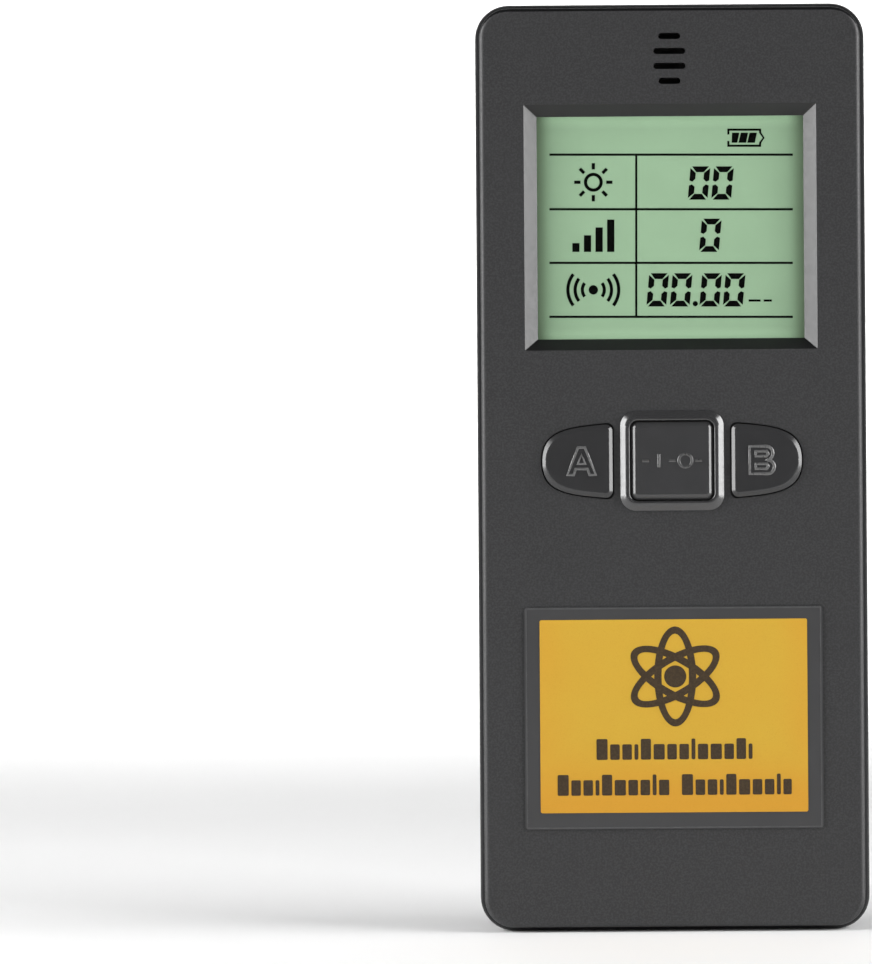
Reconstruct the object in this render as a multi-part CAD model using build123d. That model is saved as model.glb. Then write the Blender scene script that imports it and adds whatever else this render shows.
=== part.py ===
"""Hand-held geiger counter with a UV sensor, a display, three keys and a fold-out stand.

Millimetres. +X is to the right and +Z is up as the user reads the display, which faces -Y.
The case stands on its bottom end at Z = 0, and the origin is the middle of that end.
"""
import os

from build123d import *

os.makedirs("parts", exist_ok=True)

# ---- driving dimensions: case ----
case_width = 62.0
case_height = 147.5
case_depth = 25.0
case_corner = 5.4
wall = 2.0
face_wall = 2.2
face_inset = 0.8
face_corner = 4.6
face_step = 0.3
face_round = 0.8
shoulder_round = 3.4
back_round = 2.5
rear_depth = 7.25
fit_gap = 0.25

# ---- keys ----
collar_proud = 0.9
collar_size = (16.4, 15.8)
collar_corner = 2.4
collar_ring = 1.5
collar_slope = 0.95
collar_foot = 0.22
collar_round = 0.8
rim_round = 0.2
key_row_z = 74.75
side_key_inner = 9.45
side_key_outer = 20.55
side_key_half_height = 5.9
side_key_proud = 0.75
side_key_chamfer = (0.6, 0.42)
power_key_proud = 0.8
power_key_chamfer = (0.7, 0.42)
power_corner = 1.05
key_round = 0.5
flange_margin = 1.1
flange_gap = 0.15
flange_thickness = 1.0
switch_size = 6.0
switch_height = 3.3
plunger_radius = 1.7
running_gap = 0.05

# ---- display ----
display_z = 111.85
recess_size = (46.4, 39.0)
view_size = (42.4, 35.4)
recess_depth = 1.8
pane_size = (45.6, 38.6)
pane_thickness = 1.0
glass_thickness = 2.0
holder_size = (49.0, 41.6)
strip_offset = 17.4

# ---- sound slots ----
slot_widths = (3.5, 5.1, 5.1, 3.5)
slot_height = 1.0
slot_pitch = 2.37
slot_row_z = 138.55
buzzer_radius = 5.0

# ---- label ----
label_size = (47.3, 35.2)
label_z = 34.0
label_thickness = 0.25
print_size = (42.4, 30.6)
print_z = 34.3
print_thickness = 0.08

# ---- circuit board ----
board_depth = 8.2
board_thickness = 1.6
board_half_width = 27.5
board_bottom = 9.0
board_top = 143.4
board_post_x = 23.0
board_post_z = (14.0, 135.9)
case_post_x = 26.4
case_post_inset = 5.4

# ---- battery bay ----
island_width = 50.0
island_bottom = 7.0
island_reach = 20.0
web_thickness = 1.8
cell_radius = 5.25
cell_length = 43.7
nub_radius = 1.9
nub_length = 0.8
cell_pitch = 11.2
bay_half_width = 17.2
bay_bottom = 9.9
bay_top = 59.1
bay_wall = 2.6
door_half_width = 19.0
door_bottom = 9.0
door_top = 60.0
door_thickness = 1.8
contact_thickness = 0.4
spring_radius = 3.0
spring_wire = 0.35

# ---- folding stand ----
stand_depth = 5.2
stand_gap = 0.3
stand_bar = 6.5
hinge_z = 59.0
hinge_radius = stand_depth / 2
pin_radius = 1.0
pin_reach = 4.0

# ---- geiger tube ----
tube_radius = 5.0
tube_x = 19.0
tube_bottom = 69.0
tube_top = 129.0
tube_cap_radius = 3.2
tube_cap_length = 4.5
tube_neck = 0.8
tube_lift = 6.0
clip_thickness = 0.5

# ---- places worked out from the driving dimensions ----
face_y = collar_proud - (case_depth + collar_proud) / 2
shoulder_y = face_y + face_step
back_y = face_y + case_depth
seam_y = back_y - rear_depth
inner_face_y = face_y + face_wall
board_front_y = face_y + board_depth
board_back_y = board_front_y + board_thickness
pane_back_y = inner_face_y + pane_thickness
glass_front_y = pane_back_y + 0.1
glass_back_y = glass_front_y + glass_thickness
hinge_y = back_y - hinge_radius
web_back_y = seam_y + web_thickness
stand_front_y = back_y - stand_depth
cell_y = back_y - door_thickness - 0.2 - cell_radius
bay_floor_y = cell_y - cell_radius - 0.2
tube_y = board_back_y + tube_lift
lead_y = 3.0
lead_x = bay_half_width + bay_wall + 1.6
tab_slot_x = (bay_half_width - 1.0, bay_half_width + bay_wall + 1.0)
uv_x = -14.0
uv_y = 1.6
case_post_z = (case_post_inset, case_height - case_post_inset)

parts = {}


def slab(outline, y_front, y_back):
    """Solid of an outline drawn in X and Z, between two depths."""
    return extrude(Plane.XZ.offset(-y_back) * outline, amount=y_back - y_front)


def rounded(width, height, radius, x=0.0, z=0.0):
    """Rounded rectangle in X and Z."""
    return Pos(x, z) * RectangleRounded(width, height, radius)


def block(x_span, y_span, z_span):
    """Box between two limits along each axis."""
    size = [span[1] - span[0] for span in (x_span, y_span, z_span)]
    middle = [(span[1] + span[0]) / 2 for span in (x_span, y_span, z_span)]
    return Pos(*middle) * Box(*size)


def post(radius, x, z, y_front, y_back):
    """Cylinder along Y."""
    return slab(Pos(x, z) * Circle(radius), y_front, y_back)


def upright(radius, x, y, z_low, z_high):
    """Cylinder along Z."""
    return Pos(x, y, (z_low + z_high) / 2) * Cylinder(radius, z_high - z_low)


def edges_at(shape, axis, value):
    """Edges that lie wholly at one height along an axis."""
    return shape.edges().filter_by_position(axis, value - 0.001, value + 0.001)


def case_outline(inset=0.0, corner=case_corner):
    """Case outline in X and Z, drawn in from the side walls."""
    width = case_width - 2 * inset
    height = case_height - 2 * inset
    return rounded(width, height, corner, 0, case_height / 2)


def side_key_outline(margin=0.0):
    """Outline of the right-hand key: flat towards the middle, narrowing to a rounded outer end."""
    half = side_key_half_height + margin
    inner = side_key_inner - margin
    outer = side_key_outer + margin
    shoulder = inner + 0.62 * (outer - inner)
    top = Bezier((inner, half), (shoulder, 0.9 * half), (outer, 0.86 * half), (outer, 0))
    bottom = Bezier((outer, 0), (outer, -0.86 * half), (shoulder, -0.9 * half), (inner, -half))
    side = Line((inner, -half), (inner, half))
    face = make_face([top, bottom, side])
    corners = face.vertices().sort_by(Axis.X)[:2]
    return Pos(0, key_row_z) * fillet(corners, 1.1)


def mirrored(shape):
    """The same shape on the other side of the case."""
    return mirror(shape, Plane.YZ)


def make_collar():
    """Raised frame round the middle key: a low upright foot, sloping sides and a rounded crest."""
    foot_y = face_y - collar_foot
    foot = rounded(*collar_size, collar_corner, 0, key_row_z)
    top_size = [size - 2 * collar_slope for size in collar_size]
    top = rounded(*top_size, collar_corner - collar_slope, 0, key_row_z)
    foot_face = (Plane.XZ.offset(-foot_y) * foot).face()
    top_face = (Plane.XZ.offset(collar_proud - face_y) * top).face()
    collar = slab(foot, foot_y, face_y + 0.5) + loft([foot_face, top_face])
    return fillet(edges_at(collar, Axis.Y, face_y - collar_proud), collar_round)


def make_front_shell():
    """Front half of the case, with its raised face, openings, collar and inner posts."""
    body = slab(case_outline(), shoulder_y, seam_y)
    body = fillet(edges_at(body, Axis.Y, shoulder_y), shoulder_round)
    raised = slab(case_outline(face_inset, face_corner), face_y, shoulder_y + shoulder_round / 2)
    raised = fillet(edges_at(raised, Axis.Y, face_y), face_round)
    shell = body + raised
    shell -= slab(case_outline(wall, case_corner - wall), inner_face_y, seam_y)

    shell += make_collar()
    opening = [size - 2 * collar_ring for size in collar_size]
    bore = slab(rounded(*opening, power_corner + fit_gap, 0, key_row_z), face_y - 2, inner_face_y + 1)
    shell -= bore
    reach = opening[0] / 2 + 0.01
    rim = edges_at(shell, Axis.Y, face_y - collar_proud).filter_by_position(Axis.X, -reach, reach)
    shell = fillet(rim, rim_round)

    side_opening = slab(side_key_outline(fit_gap), face_y - 1, inner_face_y + 1)
    shell -= side_opening
    shell -= mirrored(side_opening)

    mouth = [2 * wide - narrow for wide, narrow in zip(recess_size, view_size)]
    wide = Plane.XZ.offset(-face_y + recess_depth) * rounded(*mouth, 0.15, 0, display_z)
    narrow = Plane.XZ.offset(-face_y - recess_depth) * rounded(*view_size, 0.15, 0, display_z)
    recess = loft([wide.face(), narrow.face()])
    recess += slab(rounded(*view_size, 0.15, 0, display_z), face_y + recess_depth, inner_face_y + 1)
    shell -= recess
    frame_size = [size + 0.4 for size in holder_size]
    pocket_size = [size + 0.3 for size in pane_size]
    frame = slab(rounded(*frame_size, 0.5, 0, display_z), inner_face_y, glass_back_y)
    frame -= slab(rounded(*pocket_size, 0.3, 0, display_z), inner_face_y, glass_back_y)
    shell += frame

    for index, width in enumerate(slot_widths):
        slot_z = slot_row_z + slot_pitch * (1.5 - index)
        shell -= slab(Pos(0, slot_z) * SlotOverall(width, slot_height), face_y - 1, inner_face_y + 1)

    for side in (-1, 1):
        for z in board_post_z:
            shell += post(2.2, side * board_post_x, z, inner_face_y, board_front_y)
            shell -= post(0.95, side * board_post_x, z, inner_face_y + 0.6, board_front_y + 1)
        for z in case_post_z:
            shell += post(2.8, side * case_post_x, z, inner_face_y, seam_y)
            shell -= post(1.25, side * case_post_x, z, seam_y - 9.0, seam_y + 1)

    shell -= upright(3.0, uv_x, uv_y, case_height - wall - 0.5, case_height + 1)
    return shell


def back_slab():
    """Whole back of the case before it is divided into the cover and the stand."""
    body = slab(case_outline(), seam_y, back_y)
    return fillet(edges_at(body, Axis.Y, back_y), back_round)


def island_outline():
    """Part of the rear cover that stays inside the folded stand."""
    height = hinge_z + island_reach - island_bottom
    return rounded(island_width, height, 2.5, 0, island_bottom + height / 2)


def make_rear_cover():
    """Rear cover with the stand's channel, the battery bay, screw wells and a locating lip."""
    clear = hinge_y - web_back_y
    front = Line((web_back_y, -1), (web_back_y, hinge_z))
    over = ThreePointArc((web_back_y, hinge_z), (hinge_y, hinge_z + clear), (hinge_y + clear, hinge_z))
    back = Line((hinge_y + clear, hinge_z), (hinge_y + clear, -1))
    foot = Line((hinge_y + clear, -1), (web_back_y, -1))
    channel = extrude(Plane.YZ.offset(-40) * make_face([front, over, back, foot]), amount=80)
    channel -= slab(island_outline(), web_back_y - 1, back_y + 2)
    cover = back_slab() - channel

    upper_low = hinge_z + clear + wall
    upper = rounded(case_width - 2 * wall, case_height - wall - upper_low, case_corner - wall,
                    0, (case_height - wall + upper_low) / 2)
    cover -= slab(upper, seam_y, back_y - wall)
    lower_half = island_width / 2 - wall
    lower_z = (island_bottom + wall, upper_low + 0.5)
    cover -= block((-lower_half, lower_half), (seam_y, back_y - wall), lower_z)

    tub_half = bay_half_width + bay_wall
    tub_z = (bay_bottom - bay_wall, bay_top + bay_wall)
    cover += block((-tub_half, tub_half), (bay_floor_y - 1.0, back_y - 1.0), tub_z)
    cover -= block((-bay_half_width, bay_half_width), (bay_floor_y, back_y + 1), (bay_bottom, bay_top))
    door_size = (2 * (door_half_width + fit_gap), door_top - door_bottom + 2 * fit_gap)
    door_middle = (door_top + door_bottom) / 2
    cover -= slab(rounded(*door_size, 1.75, 0, door_middle), back_y - door_thickness - 0.1, back_y + 1)
    cover -= slab(rounded(9.0, 3.0, 0.8, 0, door_top + 1.0), back_y - 1.1, back_y + 1)

    for side in (-1, 1):
        pin_boss = Pos(side * 23.0, hinge_y, hinge_z) * Rot(0, 90, 0) * Cylinder(2.2, 3.8)
        cover += pin_boss
        cover -= Pos(side * 24.0, hinge_y, hinge_z) * Rot(0, 90, 0) * Cylinder(pin_radius, 6.0)
        for z in case_post_z:
            x = side * case_post_x
            if z > hinge_z:
                cover += post(3.7, x, z, seam_y, back_y - 1.0) & back_slab()
            cover -= post(1.5, x, z, seam_y - 1, back_y + 1)
            cover -= post(2.35, x, z, seam_y + 1.0, back_y + 1)

    lip = slab(case_outline(wall + 0.15, case_corner - wall - 0.15), seam_y - 1.5, seam_y)
    lip -= slab(case_outline(wall + 1.15, case_corner - wall - 1.15), seam_y - 2, seam_y + 1)
    for side in (-1, 1):
        for z in case_post_z:
            lip -= post(3.05, side * case_post_x, z, seam_y - 2, seam_y + 1)
    lip -= upright(4.4, uv_x, uv_y, case_height - 5, case_height)
    cover += lip

    cover -= block(tab_slot_x, (lead_y - 0.9, lead_y + 0.9), (bay_bottom - 0.1, bay_bottom + 0.5))
    tab_x = (-cell_pitch - 0.9, -cell_pitch + 0.9)
    cover -= block(tab_x, (cell_y - 2.5, cell_y - 1.5), (bay_top - 1, bay_top + 4))
    return cover


def make_kickstand():
    """U-shaped stand that folds flush into the back and bottom of the case."""
    inner_half = island_width / 2 + stand_gap
    inner_height = hinge_z + island_reach - stand_bar
    loop = rounded(2 * inner_half, inner_height, 2.7, 0, stand_bar + inner_height / 2)
    blank = block((-40, 40), (stand_front_y, back_y + 1), (-1, hinge_z))
    blank += Pos(0, hinge_y, hinge_z) * Rot(0, 90, 0) * Cylinder(hinge_radius, 80)
    stand = back_slab() & blank
    stand -= slab(loop, seam_y, back_y + 1)
    inner_edges = edges_at(stand, Axis.Y, back_y).filter_by(GeomType.LINE)
    inner_edges = inner_edges.filter_by_position(Axis.X, -inner_half - 0.01, inner_half + 0.01)
    stand = chamfer(inner_edges.filter_by_position(Axis.Z, 3.2, hinge_z + 2), 0.9)
    nail = slab(rounded(12.0, 3.2, 1.5, 0, stand_bar), stand_front_y + 2.4, back_y + 1)
    stand -= nail
    for side in (-1, 1):
        reach = pin_reach + 0.4
        middle = side * (inner_half + reach / 2 - 0.2)
        bore = Cylinder(pin_radius + running_gap, reach + 0.4)
        stand -= Pos(middle, hinge_y, hinge_z) * Rot(0, 90, 0) * bore
    return stand


def make_hinge_pins():
    """Two steel pins, each held in the cover and turning in one leg of the stand."""
    low = island_width / 2 - 3.4
    high = island_width / 2 + stand_gap + pin_reach - 0.2
    pin = Pos((low + high) / 2, hinge_y, hinge_z) * Rot(0, 90, 0) * Cylinder(pin_radius, high - low)
    return Compound([pin, mirrored(pin)])


def make_battery_door():
    """Flush door over the battery bay, with a thumb tab and grip grooves."""
    size = (2 * door_half_width, door_top - door_bottom)
    middle = (door_top + door_bottom) / 2
    door = slab(rounded(*size, 1.5, 0, middle), back_y - door_thickness, back_y)
    door += slab(rounded(8.4, 3.0, 0.7, 0, door_top + 0.6), back_y - 0.9, back_y)
    for index in range(5):
        groove_z = door_top - 3.5 - 1.6 * index
        door -= slab(Pos(0, groove_z) * SlotOverall(14.0, 0.7), back_y - 0.4, back_y + 1)
    pad = slab(rounded(30.0, 12.0, 1.0, 0, middle), back_y - door_thickness - 0.15, back_y - door_thickness)
    return door + pad


def make_side_key():
    """Right-hand key: cap, retaining flange and the pad that presses the switch."""
    front = face_y - side_key_proud
    flange_front = inner_face_y + flange_gap
    cap = slab(side_key_outline(), front, flange_front + 0.2)
    top = cap.faces().sort_by(Axis.Y)[0]
    cap = chamfer(top.edges(), *side_key_chamfer, reference=top)
    cap = fillet(edges_at(cap, Axis.Y, front), key_round)
    cap += slab(side_key_outline(flange_margin), flange_front, flange_front + flange_thickness)
    middle = (side_key_inner + side_key_outer) / 2
    cap += post(2.2, middle, key_row_z, flange_front, board_front_y - switch_height - 1.0)
    return cap


def make_power_key():
    """Square middle key inside the collar."""
    opening = [size - 2 * collar_ring - 2 * fit_gap for size in collar_size]
    front = face_y - power_key_proud
    flange_front = inner_face_y + flange_gap
    cap = slab(rounded(*opening, power_corner, 0, key_row_z), front, flange_front + 0.2)
    top = cap.faces().sort_by(Axis.Y)[0]
    cap = chamfer(top.edges(), *power_key_chamfer, reference=top)
    cap = fillet(edges_at(cap, Axis.Y, front), key_round)
    flange = [size + 2 * (fit_gap + flange_margin) for size in opening]
    cap += slab(rounded(*flange, 1.5, 0, key_row_z), flange_front, flange_front + flange_thickness)
    cap += post(2.2, 0, key_row_z, flange_front, board_front_y - switch_height - 1.0)
    return cap


def make_switch_body(x):
    """Square tact switch with a round bore for its plunger."""
    half = switch_size / 2
    body = block((x - half, x + half), (board_front_y - switch_height, board_front_y),
                 (key_row_z - half, key_row_z + half))
    return body - post(plunger_radius + running_gap, x, key_row_z, board_front_y - switch_height - 1,
                       board_front_y - switch_height + 1.7)


def make_plunger(x):
    """Plunger that the key presses into its switch."""
    top = board_front_y - switch_height - 1.0
    return post(plunger_radius, x, key_row_z, top, top + 1.7)


def make_lcd_holder():
    """Plastic frame that holds the glass off the board and guides the contact strips."""
    holder = slab(rounded(*holder_size, 0.6, 0, display_z), glass_back_y, board_front_y)
    holder -= slab(rounded(41.0, 30.4, 0.5, 0, display_z), glass_back_y - 1, board_front_y + 1)
    for side in (-1, 1):
        strip_z = display_z + side * strip_offset
        slot_z = (strip_z - 1.1, strip_z + 1.1)
        holder -= block((-20.6, 20.6), (glass_back_y - 1, board_front_y + 1), slot_z)
    return holder


def make_zebra_strips():
    """Two striped rubber connectors between the glass and the board."""
    strips = []
    for side in (-1, 1):
        strip_z = display_z + side * strip_offset
        strips.append(block((-20.4, 20.4), (glass_back_y, board_front_y), (strip_z - 1.0, strip_z + 1.0)))
    return Compound(strips)


def make_main_board():
    """Circuit board with its screw holes and clearance for the case posts."""
    height = board_top - board_bottom
    outline = rounded(2 * board_half_width, height, 1.5, 0, board_bottom + height / 2)
    board = slab(outline, board_front_y, board_back_y)
    for side in (-1, 1):
        for z in board_post_z:
            board -= post(1.1, side * board_post_x, z, board_front_y - 1, board_back_y + 1)
        board -= post(3.2, side * case_post_x, case_post_z[1], board_front_y - 1, board_back_y + 1)
    return board


def make_board_screws():
    """Four pan-head screws that hold the board on its posts."""
    screws = []
    for side in (-1, 1):
        for z in board_post_z:
            x = side * board_post_x
            screw = post(0.9, x, z, board_front_y - 4.0, board_back_y)
            screw += post(1.9, x, z, board_back_y, board_back_y + 1.2)
            slot = block((x - 2, x + 2), (board_back_y + 0.7, board_back_y + 2), (z - 0.2, z + 0.2))
            screws.append(screw - slot)
    return Compound([solid for screw in screws for solid in screw.solids()])


def make_case_screws():
    """Four screws that pull the rear cover onto the front shell."""
    screws = []
    for side in (-1, 1):
        for z in case_post_z:
            x = side * case_post_x
            head_y = seam_y + 1.0
            screw = post(1.2, x, z, seam_y - 8.0, head_y)
            head_depth = 0.75 if z < hinge_z else 1.6
            screw += post(2.2, x, z, head_y, head_y + head_depth)
            cut = head_y + head_depth - 0.5
            screw -= block((x - 1.5, x + 1.5), (cut, cut + 2), (z - 0.3, z + 0.3))
            screw -= block((x - 0.3, x + 0.3), (cut, cut + 2), (z - 1.5, z + 1.5))
            screws.append(screw)
    return Compound([solid for screw in screws for solid in screw.solids()])


def make_cell(index):
    """One AAA cell. The middle one stands the other way up."""
    x = (index - 1) * cell_pitch
    low = bay_bottom + contact_thickness
    high = bay_top - contact_thickness
    length = cell_length + nub_length
    if index == 1:
        cell = upright(cell_radius, x, cell_y, low + nub_length, low + length)
        cell = fillet(cell.edges(), 0.5)
        return cell + upright(nub_radius, x, cell_y, low, low + nub_length + 0.2)
    cell = upright(cell_radius, x, cell_y, high - length, high - nub_length)
    cell = fillet(cell.edges(), 0.5)
    return cell + upright(nub_radius, x, cell_y, high - nub_length - 0.2, high)


def make_contact_plates():
    """Spring-steel plates at both ends of the bay, one or a joined pair to each cell end."""
    low = (bay_bottom, bay_bottom + contact_thickness)
    high = (bay_top - contact_thickness, bay_top)
    span = (cell_y - 4.0, cell_y + 4.0)
    first = block((-cell_pitch - 4.2, -cell_pitch + 4.2), span, high)
    tab_y = cell_y - 2.0
    tab_top = bay_top + bay_wall + 0.6
    tab_x = (-cell_pitch - 0.8, -cell_pitch + 0.8)
    first += block(tab_x, (tab_y - 0.3, tab_y + 0.3), (bay_top - 0.2, tab_top))
    last = block((cell_pitch - 4.2, cell_pitch + 4.2), span, low)
    last += block((cell_pitch, lead_x + 0.8), (lead_y - 0.8, lead_y + 0.8), low)
    top_pair = block((-4.2, cell_pitch + 4.2), span, high)
    low_pair = block((-cell_pitch - 4.2, 4.2), span, low)
    return Compound([first, last, top_pair, low_pair])


def make_contact_springs():
    """Coil springs that press on the flat end of each cell."""
    length = bay_top - bay_bottom - 2 * contact_thickness - cell_length - nub_length
    rise = length - 2 * spring_wire - 0.04
    springs = []
    for index in range(3):
        x = (index - 1) * cell_pitch
        low = bay_bottom + contact_thickness
        if index == 1:
            low = bay_top - contact_thickness - length
        path = Edge.make_helix(rise / 3, rise, spring_radius)
        profile = Plane(path @ 0, z_dir=path % 0) * Circle(spring_wire)
        coil = sweep(profile, path=path, is_frenet=True)
        springs.append(Pos(x, cell_y, low + spring_wire + 0.02) * coil)
    return Compound([solid for spring in springs for solid in spring.solids()])


def wire(points, radius, bends):
    """Insulated lead along straight runs joined by arcs."""
    path = FilletPolyline(*points, radius=bends)
    start = Plane(path @ 0, z_dir=path % 0)
    return sweep(start * Circle(radius), path=path)


def make_red_lead():
    """Lead from the bay's upper end to the board."""
    x = -cell_pitch
    low = bay_top + bay_wall + 0.6
    points = [(x, cell_y - 2.0, low), (x, cell_y - 2.0, low + 5.0), (x, board_back_y, low + 5.0)]
    return wire(points, 0.6, 2.2)


def make_black_lead():
    """Lead from the bay's lower end, up beside the bay, to the board."""
    low = bay_bottom + contact_thickness
    high = bay_top - 2.0
    points = [(lead_x, lead_y, low), (lead_x, lead_y, high), (lead_x, board_back_y, high)]
    return wire(points, 0.6, 2.2)


def make_geiger_tube():
    """Thin-walled counter tube, with a step at each end for its caps."""
    tube = upright(tube_radius, tube_x, tube_y, tube_bottom, tube_top)
    tube = fillet(tube.edges(), 1.2)
    tube += upright(2.4, tube_x, tube_y, tube_bottom - tube_neck, tube_bottom + 0.5)
    tube += upright(2.4, tube_x, tube_y, tube_top - 0.5, tube_top + tube_neck)
    return tube


def make_tube_caps():
    """Metal contact cap at each end of the counter tube."""
    low_z = tube_bottom - tube_neck
    high_z = tube_top + tube_neck
    low = upright(tube_cap_radius, tube_x, tube_y, low_z - tube_cap_length, low_z)
    high = upright(tube_cap_radius, tube_x, tube_y, high_z, high_z + tube_cap_length)
    return Compound([fillet(low.edges(), 0.4), fillet(high.edges(), 0.4)])


def make_tube_clips():
    """Two spring clips that grip the tube's caps and stand on the board."""
    clips = []
    reach = tube_neck + tube_cap_length / 2
    for middle in (tube_bottom - reach, tube_top + reach):
        outer = upright(tube_cap_radius + 0.02 + clip_thickness, tube_x, tube_y, middle - 1.5, middle + 1.5)
        inner = upright(tube_cap_radius + 0.02, tube_x, tube_y, middle - 2, middle + 2)
        mouth = block((tube_x - 2.4, tube_x + 2.4), (tube_y, tube_y + 6), (middle - 2, middle + 2))
        foot_y = (board_back_y, tube_y - tube_cap_radius - 0.3)
        stem = block((tube_x - 1.6, tube_x + 1.6), foot_y, (middle - 1.5, middle + 1.5))
        clips.append((outer + stem) - inner - mouth)
    return Compound([solid for clip in clips for solid in clip.solids()])


def make_transformer():
    """Ferrite core and its winding, for the tube's high voltage."""
    x, z = -17.0, 104.0
    y0 = board_back_y
    core = block((x - 5.5, x + 5.5), (y0 + 0.6, y0 + 8.6), (z - 5, z + 5))
    core -= block((x - 3.9, x - 1.7), (y0, y0 + 10), (z - 3.6, z + 3.6))
    core -= block((x + 1.7, x + 3.9), (y0, y0 + 10), (z - 3.6, z + 3.6))
    winding = block((x - 3.7, x + 3.7), (y0, y0 + 9.4), (z - 3.4, z + 3.4))
    winding = fillet(winding.edges().filter_by(Axis.Y), 1.2)
    winding -= block((x - 1.7, x + 1.7), (y0 - 1, y0 + 10), (z - 4, z + 4))
    parts["transformer_core"] = core
    parts["transformer_winding"] = Compound(list(winding.solids()))


def make_capacitors():
    """Round capacitors of the high-voltage multiplier, standing off the board."""
    cans = []
    for index in range(3):
        can = post(2.6, -20.0 + 8.0 * index, 91.0, board_back_y, board_back_y + 8.0)
        cans.append(fillet(edges_at(can, Axis.Y, board_back_y + 8.0), 0.6))
    return Compound(cans)


def make_small_parts():
    """Row of resistors and small capacitors on the back of the board."""
    row = []
    for index in range(10):
        x = -22.0 + 3.4 * index
        z = 79.0 if index % 2 else 82.0
        row.append(block((x - 0.8, x + 0.8), (board_back_y, board_back_y + 0.7), (z - 0.5, z + 0.5)))
    return Compound(row)


def make_controller_chip():
    """Flat controller package with its legs."""
    x, z = -4.0, 120.0
    chip = block((x - 5, x + 5), (board_back_y + 0.15, board_back_y + 1.6), (z - 5, z + 5))
    for index in range(8):
        offset = (index - 3.5) * 1.1
        leg_y = (board_back_y, board_back_y + 0.4)
        chip += block((x - 6, x + 6), leg_y, (z + offset - 0.2, z + offset + 0.2))
        chip += block((x + offset - 0.2, x + offset + 0.2), leg_y, (z - 6, z + 6))
    return chip


def make_uv_sensor():
    """Small metal can under the window in the top end, on two bent legs."""
    low = 139.2
    sensor = upright(2.7, uv_x, uv_y, low, low + 0.7)
    sensor += upright(2.3, uv_x, uv_y, low, low + 3.8)
    for side in (-1, 1):
        x = uv_x + side * 1.27
        sensor += upright(0.25, x, uv_y, low - 2.0, low + 0.2)
        sensor += post(0.25, x, low - 2.0, board_back_y, uv_y + 0.25)
    return sensor


def make_uv_window():
    """Clear window in the top end, with a flange inside the wall."""
    inner = case_height - wall
    window = upright(2.95, uv_x, uv_y, inner - 0.1, case_height - 0.2)
    return window + upright(3.8, uv_x, uv_y, inner - 0.9, inner)


parts["front_shell"] = make_front_shell()
parts["rear_cover"] = make_rear_cover()
parts["kickstand"] = make_kickstand()
parts["hinge_pins"] = make_hinge_pins()
parts["battery_door"] = make_battery_door()
parts["lcd_window"] = slab(rounded(*pane_size, 0.2, 0, display_z), inner_face_y, pane_back_y)
parts["lcd_panel"] = slab(rounded(45.4, 38.4, 0.2, 0, display_z), glass_front_y, glass_back_y)
parts["lcd_reflector"] = slab(rounded(40.6, 30.0, 0.4, 0, display_z), glass_back_y, glass_back_y + 0.4)
parts["lcd_holder"] = make_lcd_holder()
parts["zebra_strips"] = make_zebra_strips()
parts["label_plate"] = slab(rounded(*label_size, 0.6, 0, label_z), face_y - label_thickness, face_y)
parts["label_print"] = slab(rounded(*print_size, 0.3, 0, print_z),
                            face_y - label_thickness - print_thickness, face_y - label_thickness)

side_key = make_side_key()
side_middle = (side_key_inner + side_key_outer) / 2
key_places = {"a": -side_middle, "power": 0.0, "b": side_middle}
parts["key_a"] = mirrored(side_key)
parts["key_power"] = make_power_key()
parts["key_b"] = side_key
for key_name, key_x in key_places.items():
    parts["switch_body_" + key_name] = make_switch_body(key_x)
    parts["switch_plunger_" + key_name] = make_plunger(key_x)

parts["main_board"] = make_main_board()
parts["board_screws"] = make_board_screws()
parts["case_screws"] = make_case_screws()
for cell_index in range(3):
    parts["battery_cell_" + str(cell_index + 1)] = make_cell(cell_index)
parts["contact_plates"] = make_contact_plates()
parts["contact_springs"] = make_contact_springs()
parts["red_lead"] = make_red_lead()
parts["black_lead"] = make_black_lead()
parts["geiger_tube"] = make_geiger_tube()
parts["tube_caps"] = make_tube_caps()
parts["tube_clips"] = make_tube_clips()
make_transformer()
parts["multiplier_capacitors"] = make_capacitors()
parts["small_parts"] = make_small_parts()
parts["controller_chip"] = make_controller_chip()
parts["buzzer"] = post(buzzer_radius, 0, slot_row_z, inner_face_y + 0.4, board_front_y)
parts["buzzer_felt"] = post(buzzer_radius - 0.2, 0, slot_row_z, inner_face_y, inner_face_y + 0.4)
parts["uv_sensor"] = make_uv_sensor()
parts["uv_window"] = make_uv_window()

for node, shape in parts.items():
    export_step(shape, "parts/" + node + ".step")
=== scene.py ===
"""Looks of the hand-held geiger counter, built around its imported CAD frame."""
import math

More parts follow.
